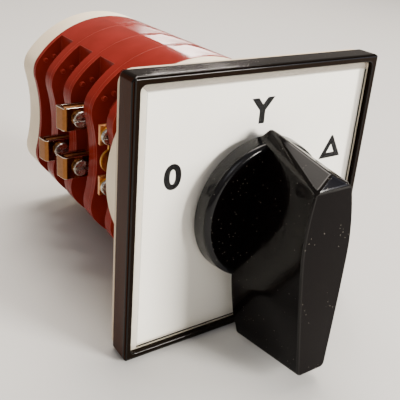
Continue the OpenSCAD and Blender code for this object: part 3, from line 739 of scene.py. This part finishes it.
def blade_shape():
    """The blade as a closed shell: two grids of rows, bridged, and each row
    brought to its own height and width. Its sizes, in millimetres, and the
    curves of its sides follow the part's source."""
    rows, half = 48, 7.7
    tip_z, tail_z = 18.9, -31.0
    front_y, back_y = -30.6, -9.6
    front_top, front_foot, lean = 5.6, 2.2, 0.05
    back_top, back_foot_out, back_tip_in = 2.0, 0.9, 2.4
    ridge_y, ridge_z, corner_r = -27.0, 15.95, 1.1
    halfway_y = (front_y + back_y) / 2

    def back_half(z):
        """Half width where the blade leaves the base, widest below the middle."""
        wide = tail_z * 0.45
        if z > wide:
            return half * ((tip_z - z) / (tip_z - wide)) ** 0.55
        return half * (1 - 0.38 * ((wide - z) / (wide - tail_z)) ** 1.3)

    def front_half(z):
        """Half width of the front face."""
        most = half * 0.83
        if z > 0:
            return most * (1 - 0.25 * (z / (tip_z - 5.7)) ** 2)
        return most * (1 - 0.41 * (-z / (-tail_z - front_foot)) ** 1.2)

    # the grids reach 1 mm to each side, so a row is scaled by its half width
    grids = []
    for y in (front_y, back_y):
        clear_selection()
        bpy.ops.mesh.primitive_grid_add(
            x_subdivisions=2, y_subdivisions=rows, size=2 * MM,
            location=(0, y * MM, 0), rotation=(math.pi / 2, 0, 0),
        )
        grids.append(settle(bpy.context.object))
    shell = join(grids)
    places = {}
    for vertex in shell.data.vertices:
        row = round((vertex.co.z / MM + 1) / 2 * rows)
        at_back = vertex.co.y > halfway_y * MM
        places.setdefault((row, at_back), []).append(vertex.index)
    bpy.ops.object.mode_set(mode="EDIT")
    bpy.ops.mesh.select_mode(type="EDGE")
    bpy.ops.mesh.select_all(action="DESELECT")
    bpy.ops.mesh.select_non_manifold()
    bpy.ops.mesh.bridge_edge_loops()

    def bring(numbers, half_width, to_y, to_z):
        """Sets the half width of a row and moves it to its depth and height."""
        bpy.ops.mesh.select_mode(type="VERT")
        bpy.ops.mesh.select_all(action="DESELECT")
        shape = bmesh.from_edit_mesh(shell.data)
        shape.verts.ensure_lookup_table()
        for number in numbers:
            shape.verts[number].select_set(True)
        at = shape.verts[numbers[0]].co.copy()
        bpy.ops.transform.resize(value=(half_width, 1, 1), center_override=(0, 0, 0))
        bpy.ops.transform.translate(value=(0, to_y * MM - at.y, to_z * MM - at.z))

    for row in range(rows):
        # the first gap is wide, with room for the rounded lower corners
        up = 0.06 + 0.94 * (row - 1) / (rows - 2) if row else 0.0
        z = tail_z + front_foot + up * (tip_z - front_top - tail_z - front_foot)
        bring(places[row, False], front_half(z), front_y + (z - tail_z) * lean, z)
        # the back comes forward in the lowest rows and goes back in the highest
        z = tail_z + up * (tip_z - back_top - tail_z)
        low = back_foot_out * max(0.0, 1 - row / 3)
        high = back_tip_in * max(0.0, (up - 0.9) / 0.1)
        bring(places[row, True], back_half(z), back_y - low + high, z)
    top = tip_z - front_top
    top_y = front_y + (top - tail_z) * lean
    bring(places[rows, False], front_half(top), top_y, top)
    # the back ends in a point at the tip
    bring(places[rows, True], 0.02, back_y + 1.3, tip_z)
    # the middle of the top row rises to the ridge, which leaves a
    # three-cornered face between the ridge and the front
    select_where(shell, lambda v: abs(v.co.x) < 1e-6 and v.index in places[rows, False])
    bpy.ops.transform.translate(value=(0, (ridge_y - top_y) * MM, (ridge_z - top) * MM))
    bpy.ops.mesh.select_all(action="SELECT")
    bpy.ops.mesh.remove_doubles(threshold=0.05 * MM)
    bpy.ops.mesh.normals_make_consistent(inside=False)
    bpy.ops.mesh.dissolve_limited(angle_limit=math.radians(0.2))
    # the two long corners of the lower end are rounded
    select_where(
        shell,
        lambda e: e.calc_length() > 15 * MM and max(v.co.z for v in e.verts) < -28 * MM,
        "EDGE",
    )
    bpy.ops.mesh.bevel(offset=corner_r * MM, segments=6, affect="EDGES")
    bpy.ops.object.mode_set(mode="OBJECT")
    return shell


class CAM_SWITCH_OT_handle(bpy.types.Operator):
    """Models the polished lever handle on its round base"""

    bl_idname = "cam_switch.handle"
    bl_label = "Handle"

    def execute(self, context):
        handle = context.scene.handle_settings
        blade = blade_shape()
        base = rod(BASE_R, (0, BASE_BACK_Y, 0), (0, BASE_FRONT_Y, 0), sides=160)
        for piece in (blade, base):
            give_finishes(
                piece, FINISH["black_handle"], FINISH["base rim"], FINISH["blade edge"]
            )
        # numbers of the finishes after the first
        rim, edge_highlight = 1, 2
        # the blade's rounded edges get the painted edge highlight
        round_edges(blade, handle.edge, segments=3, angle=15.0, finish=edge_highlight)
        pick(base)
        bpy.ops.object.mode_set(mode="EDIT")
        # the base tapers a little to the front and its front edge is rounded
        middle_y, taper = (BASE_BACK_Y + BASE_FRONT_Y) / 2 * MM, BASE_FRONT_R / BASE_R
        select_where(base, lambda v: v.co.y < middle_y)
        bpy.ops.transform.resize(value=(taper, 1, taper))
        # the side and the rounded front edge get the painted highlight
        select_where(base, lambda f: abs(f.normal.y) < 0.5, "FACE")
        finish_faces(base, rim)
        select_where(base, lambda e: all(v.co.y < middle_y for v in e.verts), "EDGE")
        bpy.ops.mesh.bevel(offset=handle.base_edge, segments=7, affect="EDGES", material=rim)
        bpy.ops.object.mode_set(mode="OBJECT")
        # the hub behind the base, the blade, the square bore for the shaft and the
        # grub screw's hole; sizes in millimetres
        hub_r, hub_front_y, hub_back_y = 7.6, -8, -0.3
        half_bore, bore_front_y, bore_back_y = 4.05, -14.6, 1
        grub_r, grub_y, grub_in_x, grub_out_x = 1.5, -8.35, 2, 18
        hub = rod(hub_r, (0, hub_front_y, 0), (0, hub_back_y, 0), sides=96)
        combine(base, hub, "UNION")
        combine(base, blade, "UNION")
        bore = block(
            (-half_bore, bore_front_y, -half_bore), (half_bore, bore_back_y, half_bore)
        )
        combine(base, bore, "DIFFERENCE")
        hole = rod(grub_r, (grub_in_x, grub_y, 0), (grub_out_x, grub_y, 0), sides=48)
        combine(base, hole, "DIFFERENCE")
        smooth(base, angle=30.0)
        dress(base, "handle")
        soften("grub_screw", 0.1 * MM)
        return {"FINISHED"}


class CAM_SWITCH_OT_body(bpy.types.Operator):
    """Dresses the index housing, the four contact decks and the rear plate"""

    bl_idname = "cam_switch.body"
    bl_label = "Housing and decks"

    def execute(self, context):
        edge = context.scene.body_settings.edge
        soften("index_housing", edge)
        for number in DECKS:
            # the rib edges get a lighter, glossier finish: wear with a painted highlight
            soften("deck_" + number, edge, worn=FINISH["worn phenolic"])
        soften("rear_plate", edge)
        return {"FINISHED"}


class CAM_SWITCH_OT_metal(bpy.types.Operator):
    """Dresses the clamps, link, screws and strips"""

    bl_idname = "cam_switch.metal"
    bl_label = "Metal pieces"

    def execute(self, context):
        metal = context.scene.metal_settings
        # screws have rounder edges than the sheet, thin strips finer ones
        screw_edge, strip_edge = metal.edge * 1.6, metal.edge * 0.6
        for node in ("clamps_left", "clamps_right"):
            clamps = copy_of(node)
            # the upright edges near the outer end, where the sheet is bent
            edge_x = max(abs(v.co.x) for v in clamps.data.vertices) - 1.6 * MM
            bpy.ops.object.mode_set(mode="EDIT")
            select_where(
                clamps,
                lambda e: all(abs(v.co.x) > edge_x for v in e.verts)
                and abs((e.verts[0].co - e.verts[1].co).normalized().z) > 0.99
                and e.calc_length() > 3 * MM,
                "EDGE",
            )
            bpy.ops.mesh.bevel(offset=metal.bend, segments=5, affect="EDGES")
            bpy.ops.object.mode_set(mode="OBJECT")
            # the clamps' rounded edges get the painted highlight
            give_finishes(clamps, FINISH["nickel"], FINISH["nickel edge"])
            round_edges(clamps, metal.edge, finish=1)
            smooth(clamps)
            dress(clamps, node)
        soften("link_strap", metal.edge)
        for node in ("terminal_screws_left", "terminal_screws_right", "tie_screws"):
            soften(node, screw_edge, segments=3)
        # the buttons lie between these distances from the middle, in millimetres
        on_strips, on_bridges = (15.8, 16.49), (14.21, 14.9)
        for number in DECKS:
            self.contacts("fixed_contacts_" + number, strip_edge, *on_strips)
            for side in SIDES:
                self.contacts(f"bridge_{side}_{number}", strip_edge, *on_bridges)
        return {"FINISHED"}

    def contacts(self, node, edge, near, far):
        """A strip or bridge with soft edges and silver buttons, from near to far."""
        made = copy_of(node)
        give_finishes(made, FINISH["contact_metal"], FINISH["silver"])
        bpy.ops.object.mode_set(mode="EDIT")
        select_where(
            made, lambda f: near * MM < abs(f.calc_center_median().x) < far * MM, "FACE"
        )
        finish_faces(made, 1)
        bpy.ops.object.mode_set(mode="OBJECT")
        round_edges(made, edge)
        smooth(made)
        dress(made, node)


class CAM_SWITCH_OT_mechanism(bpy.types.Operator):
    """Dresses the shaft, index wheel, stop disc, springs, cams and plungers"""

    bl_idname = "cam_switch.mechanism"
    bl_label = "Mechanism"

    def execute(self, context):
        stamped, moulded = 0.12 * MM, 0.15 * MM
        for node in ("shaft", "index_wheel", "stop_disc", "index_springs"):
            soften(node, stamped)
        for number in DECKS:
            soften("cam_" + number, moulded)
            for side in SIDES:
                soften(f"plunger_{side}_{number}", moulded)
        return {"FINISHED"}


class CAM_SWITCH_OT_springs(bpy.types.Operator):
    """Winds the eight coil springs between the contact bridges and the cells"""

    bl_idname = "cam_switch.springs"
    bl_label = "Contact springs"

    def execute(self, context):
        # radius of the wire and of the coil, and how far from the middle the coil
        # starts and ends, in millimetres
        wire, radius, turns, inner, outer = 0.175, 1.4, 3, 14.3, 17.5
        clear_selection()
        bpy.ops.mesh.primitive_circle_add(
            vertices=12, radius=wire * MM, rotation=(math.pi / 2, 0, 0),
            location=((inner + wire) * MM, 0, radius * MM),
        )
        spring = settle(bpy.context.object)
        wind = spring.modifiers.new("wind", "SCREW")
        wind.axis = "X"
        wind.steps = wind.render_steps = 32
        wind.iterations = turns
        wind.screw_offset = (outer - inner - 2 * wire) / turns * MM
        bpy.ops.object.modifier_apply(modifier=wind.name)
        bpy.ops.object.mode_set(mode="EDIT")
        bpy.ops.mesh.select_all(action="SELECT")
        bpy.ops.mesh.fill_holes(sides=0)
        bpy.ops.mesh.normals_make_consistent(inside=False)
        bpy.ops.object.mode_set(mode="OBJECT")
        smooth(spring, angle=50.0)
        give_finishes(spring, FINISH["spring_steel"])
        for number in DECKS:
            for side, sign, turn in (("left", -1, math.pi), ("right", 1, 0.0)):
                low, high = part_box(f"bridge_{side}_{number}")
                pick(spring)
                bpy.ops.object.duplicate()
                made = bpy.context.object
                made.rotation_euler = (0, turn, 0)
                made.location = (0, (low.y + high.y) / 2, (low.z + high.z) / 2)
                settle(made)
                made.name = made.data.name = f"contact_spring_{side}_{number}"
                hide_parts("contact_springs")
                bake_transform(made)
        bpy.data.objects.remove(spring)
        return {"FINISHED"}


def soft_light(name, place, target, width, power, color):
    """A square area light that the camera doesn't see, aimed at a point."""
    clear_selection()
    bpy.ops.object.light_add(type="AREA", location=place)
    lamp = bpy.context.object
    lamp.name = name
    lamp.data.size = width
    lamp.data.energy = power
    lamp.data.color = linear(color)[:3]
    lamp.visible_camera = False
    aim = Vector(target) - Vector(place)
    lamp.rotation_euler = aim.to_track_quat("-Z", "Y").to_euler()
    return lamp


class CAM_SWITCH_OT_stage(bpy.types.Operator):
    """Adds the pale floor, the soft lights and the camera"""

    bl_idname = "cam_switch.stage"
    bl_label = "Studio"

    def execute(self, context):
        studio = context.scene.studio_settings
        low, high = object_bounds()
        gap = 0.2 * MM
        clear_selection()
        bpy.ops.mesh.primitive_plane_add(size=4.0, location=(0, 0, low.z - gap))
        floor = context.object
        floor.name = "floor"
        # matt paper with faint clouds of about 33 mm
        made, tree, skin, place = blank_material("pale floor", Roughness=0.9)
        cloud = add_node(tree, "ShaderNodeTexNoise", [("Vector", place)], {"Scale": 30.0})
        tint = add_node(tree, "ShaderNodeValToRGB", [("Fac", cloud.outputs["Fac"])])
        base = linear(studio.floor_color)
        tint.color_ramp.elements[0].color = (*(0.98 * c for c in base[:3]), 1.0)
        tint.color_ramp.elements[1].color = base
        tree.links.new(tint.outputs[0], skin.inputs["Base Color"])
        floor.data.materials.append(made)
        floor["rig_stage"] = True

        # each light has a place, a target, a width, its share of the power and a colour
        mid = (low + high) / 2
        power = studio.light_power
        soft_light("front", (0.37, -0.66, 0.20), mid, 0.24, power * 1.42, "#FFFAF2")
        soft_light("front left", (-0.30, -0.52, 0.52), mid, 0.34, power * 0.07, "#F4F6FF")
        # a low strip behind, which the flats on top of the decks mirror
        deck_top, strip_height = (0.0, 0.037, 0.028), 0.055
        strip = soft_light(
            "back", (0.44, 0.660, 0.303), deck_top, 0.14, power * 0.115, "#FFF4EA"
        )
        strip.data.shape = "RECTANGLE"
        strip.data.size_y = strip_height
        soft_light("top", (0.16, 0.17, 0.65), mid, 0.44, power * 0.72, "#FFF6EC")
        soft_light("right", (0.50, -0.46, 0.22), mid, 0.30, power * 0.05, "#C8D8FF")
        world = bpy.data.worlds.new("soft surroundings")
        world.use_nodes = True
        context.scene.world = world
        sky = world.node_tree.nodes["Background"]
        sky.inputs["Color"].default_value = linear("#FFF4EA")
        sky.inputs["Strength"].default_value = studio.fill_level

        # the camera is fitted to the plate and the body in the photograph
        clear_selection()
        bpy.ops.object.camera_add(location=(-0.08367, -0.10219, 0.06207))
        eye = context.object
        eye.name = "camera"
        eye.rotation_mode = "QUATERNION"
        eye.rotation_quaternion = Quaternion((0.805444, 0.519215, -0.185123, -0.217728))
        eye.data.sensor_width = 36.0
        eye.data.lens = 56.506
        eye.data.shift_x = 0.011
        eye.data.shift_y = -0.085
        eye.data.clip_start = 0.005
        eye.data.clip_end = 20.0
        context.scene.camera = eye
        return {"FINISHED"}


class CAM_SWITCH_OT_finishes(bpy.types.Operator):
    """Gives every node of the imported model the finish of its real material"""

    bl_idname = "cam_switch.finishes"
    bl_label = "Finishes"

    def execute(self, context):
        scene = context.scene
        plate, handle = scene.plate_settings, scene.handle_settings
        body, metal = scene.body_settings, scene.metal_settings
        # the frame's warm reflection tint and its brown sides are painted reflections
        black = polished_black(
            "black gloss thermoset", plate.frame_color, roughness=0.07,
            gloss=plate.polish, reflection_tint="#E8A870", hex_side_reflection=plate.side_reflection_color,
        )
        blade = polished_black(
            "polished black thermoset", handle.color, roughness=0.11, gloss=handle.polish
        )
        red = moulded_thermoset(
            "brick-red phenolic", body.deck_color, body.deck_dark, roughness=0.17,
            mark_size=9.0, specular=0.035,
        )
        cream = moulded_thermoset(
            "cream thermoset", body.cream_color, "#E8D6B8", roughness=0.46,
            mark_size=12.0, specular=0.15,
        )
        label = painted_sheet("white enamelled sheet", plate.label_color)
        clear = clear_acrylic("clear acrylic", "#202020", alpha=0.05)
        # painted light in the cover's bevel: a pale cream rim, a dark shade line and darker
        # upper and right faces
        FINISH["clear rim"] = clear_acrylic("clear acrylic rim", "#EFE6D2", alpha=0.75)
        FINISH["rim shade"] = clear_acrylic("clear acrylic line", "#5A544A", alpha=0.45)
        FINISH["dark rim"] = clear_acrylic("clear acrylic dark rim", "#6E655A", alpha=0.7)
        # painted highlight: a lighter, bluer, glossier copy of the black for the base's side
        # and rim
        FINISH["base rim"] = polished_black(
            "black thermoset round the base with painted highlight", "#0A0A0C", roughness=0.13, gloss=0.22
        )
        # painted highlight: a lighter, glossier copy of the black for rounded edges
        FINISH["blade edge"] = polished_black(
            "black thermoset with painted edge highlight", "#0A0807", roughness=0.13, gloss=0.16
        )
        # wear with a painted highlight: a lighter, glossier phenolic on the rounded edges
        FINISH["worn phenolic"] = moulded_thermoset(
            "phenolic along worn edges, with painted highlight", body.worn_and_highlight_color, body.deck_color, roughness=0.4,
            mark_size=2.0, specular=0.12,
        )
        board = pressed_board("pressed sealing board", plate.gasket_color)
        # painted reflection: brown painted into the nickel's colour
        nickel = plated_metal(
            "nickel plating over brass", metal.nickel_and_reflection_color, roughness=0.16
        )
        # painted highlight along the plated edges
        FINISH["nickel edge"] = plated_metal(
            "nickel plating with painted edge highlight", metal.nickel_edge_highlight, roughness=0.14
        )
        zinc = plated_metal("zinc plated steel", metal.zinc_color, roughness=0.24)
        spring = plated_metal("spring steel", "#8C8C88", roughness=0.3, streak=4.0)
        brass = plated_metal("rolled brass", metal.brass_color, roughness=0.28, streak=3.0)
        copper = plated_metal("copper alloy", "#C98E5C", roughness=0.3, streak=3.0)
        FINISH["silver"] = plated_metal(
            "silver alloy of the contact buttons", "#E2E0DA", roughness=0.3
        )
        cam = polyamide("off-white polyamide", "#DCD6C8", roughness=0.5)
        natural = polyamide("natural polyamide", "#E8E2D0", roughness=0.42)
        FINISH.update({
            "phenolic": red, "cream_plastic": cream, "black_gloss": black,
            "black_handle": blade, "label": label, "clear": clear,
            "gasket_board": board, "zinc_steel": zinc, "spring_steel": spring,
            "nickel": nickel, "brass": brass, "contact_metal": copper,
            "cam_plastic": cam, "plunger_plastic": natural,
        })
        for name, part in PARTS.items():
            finish_node(name, FINISH[part["material_slot"]])
        return {"FINISHED"}


class CAM_SWITCH_PT_panel(bpy.types.Panel):
    """Lists the steps that dress the switch"""

    bl_idname = "CAM_SWITCH_PT_panel"
    bl_label = "Cam switch"
    bl_space_type = "VIEW_3D"
    bl_region_type = "UI"
    bl_category = "Cam switch"

    def draw(self, context):
        for step in STEPS:
            self.layout.operator(step.bl_idname)
        for name in GROUPS:
            box = self.layout.box()
            settings = getattr(context.scene, name)
            for key in settings.__annotations__:
                box.prop(settings, key)


GROUPS = {
    "plate_settings": PlateSettings,
    "handle_settings": HandleSettings,
    "body_settings": BodySettings,
    "metal_settings": MetalSettings,
    "studio_settings": StudioSettings,
}
STEPS = (
    CAM_SWITCH_OT_finishes,
    CAM_SWITCH_OT_front_plate,
    CAM_SWITCH_OT_lettering,
    CAM_SWITCH_OT_handle,
    CAM_SWITCH_OT_body,
    CAM_SWITCH_OT_metal,
    CAM_SWITCH_OT_mechanism,
    CAM_SWITCH_OT_springs,
    CAM_SWITCH_OT_stage,
)


def register():
    """Registers the settings, the operators and the panel."""
    for name, group in GROUPS.items():
        bpy.utils.register_class(group)
        setattr(bpy.types.Scene, name, bpy.props.PointerProperty(type=group))
    for step in STEPS:
        bpy.utils.register_class(step)
    bpy.utils.register_class(CAM_SWITCH_PT_panel)


def unregister():
    """Takes back all that register does."""
    bpy.utils.unregister_class(CAM_SWITCH_PT_panel)
    for step in reversed(STEPS):
        bpy.utils.unregister_class(step)
    for name, group in GROUPS.items():
        delattr(bpy.types.Scene, name)
        bpy.utils.unregister_class(group)


def main():
    """Dresses the switch, step by step."""
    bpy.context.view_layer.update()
    register()
    for step in STEPS:
        area, name = step.bl_idname.split(".")
        getattr(getattr(bpy.ops, area), name)()


if __name__ == "__main__":
    main()
